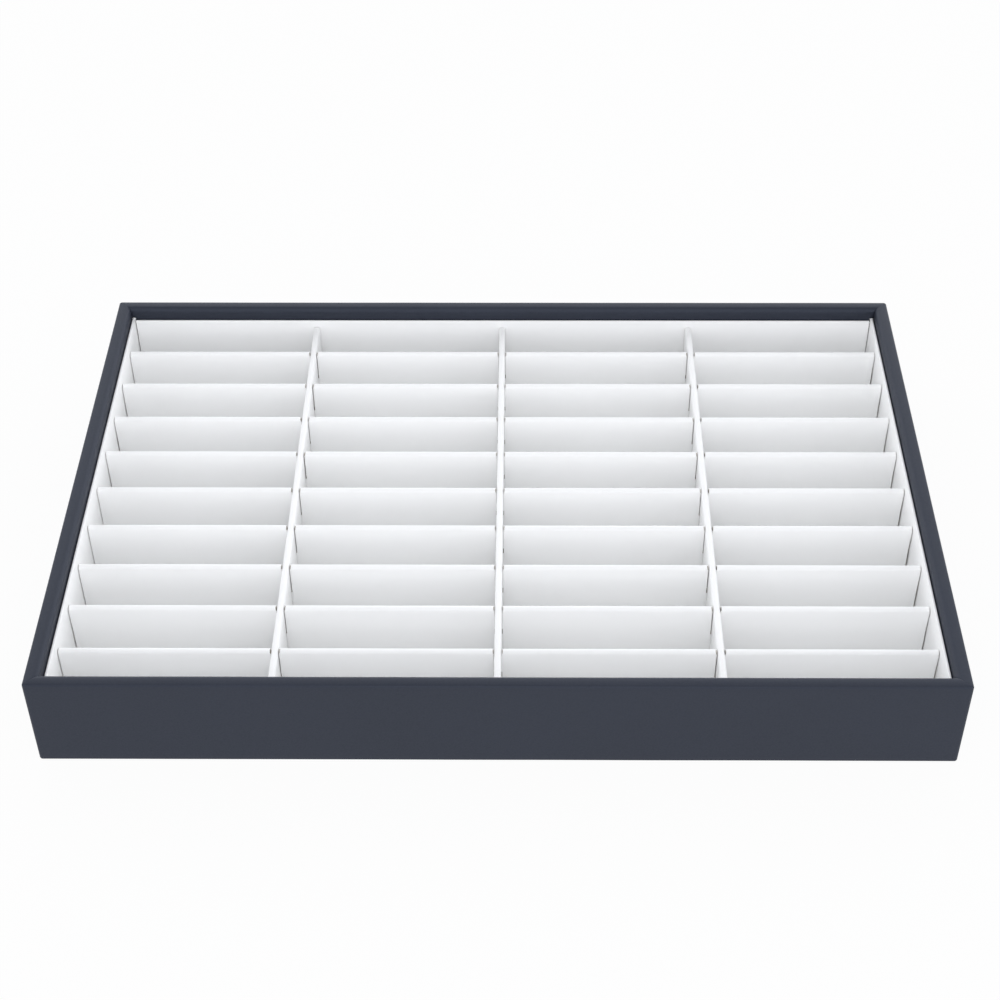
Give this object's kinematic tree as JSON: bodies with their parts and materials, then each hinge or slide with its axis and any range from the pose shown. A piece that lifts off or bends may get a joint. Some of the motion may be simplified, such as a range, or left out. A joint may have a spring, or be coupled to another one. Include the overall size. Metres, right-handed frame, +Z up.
{
  "type": "jewelry tray",
  "caption": "Shallow rectangular jewelry tray: a slate leatherette frame with a white lining and a lift-out egg-crate of half-lapped dividers.",
  "frame": {"origin": "centre of the underside, on the surface that the tray stands on", "axes": "+X to the tray's right along its long side, +Y to its back, +Z up"},
  "size_m": [0.35, 0.24, 0.0415],
  "materials": {
    "slate_leatherette": "satin",
    "white_leatherette": "satin",
    "greyboard": "matte",
    "mdf_board": "matte"
  },
  "bodies": {
    "tray": {"front_wall": "mdf_board", "back_wall": "mdf_board", "left_wall": "mdf_board", "right_wall": "mdf_board", "front_wrap": "slate_leatherette", "back_wrap": "slate_leatherette", "left_wrap": "slate_leatherette", "right_wrap": "slate_leatherette", "base_board": "mdf_board", "underside_sheet": "slate_leatherette", "floor_card": "greyboard", "floor_cover": "white_leatherette", "front_liner_card": "greyboard", "back_liner_card": "greyboard", "left_liner_card": "greyboard", "right_liner_card": "greyboard", "front_liner_cover": "white_leatherette", "back_liner_cover": "white_leatherette", "left_liner_cover": "white_leatherette", "right_liner_cover": "white_leatherette"},
    "row_dividers": {"row_divider_1_core": "greyboard", "row_divider_2_core": "greyboard", "row_divider_3_core": "greyboard", "row_divider_4_core": "greyboard", "row_divider_5_core": "greyboard", "row_divider_6_core": "greyboard", "row_divider_7_core": "greyboard", "row_divider_8_core": "greyboard", "row_divider_9_core": "greyboard", "row_divider_1_cover": "white_leatherette", "row_divider_2_cover": "white_leatherette", "row_divider_3_cover": "white_leatherette", "row_divider_4_cover": "white_leatherette", "row_divider_5_cover": "white_leatherette", "row_divider_6_cover": "white_leatherette", "row_divider_7_cover": "white_leatherette", "row_divider_8_cover": "white_leatherette", "row_divider_9_cover": "white_leatherette"},
    "column_divider_left": {"column_divider_left_core": "greyboard", "column_divider_left_cover": "white_leatherette"},
    "column_divider_centre": {"column_divider_centre_core": "greyboard", "column_divider_centre_cover": "white_leatherette"},
    "column_divider_right": {"column_divider_right_core": "greyboard", "column_divider_right_cover": "white_leatherette"}
  },
  "joints": [
    {"name": "row_dividers_lift", "type": "slide", "parent": "tray", "child": "row_dividers", "axis": [0, 0, 1], "range_m": [0, 0.04]},
    {"name": "column_divider_left_lift", "type": "slide", "parent": "row_dividers", "child": "column_divider_left", "axis": [0, 0, 1], "range_m": [0, 0.04]},
    {"name": "column_divider_centre_lift", "type": "slide", "parent": "row_dividers", "child": "column_divider_centre", "axis": [0, 0, 1], "range_m": [0, 0.04]},
    {"name": "column_divider_right_lift", "type": "slide", "parent": "row_dividers", "child": "column_divider_right", "axis": [0, 0, 1], "range_m": [0, 0.04]}
  ]
}
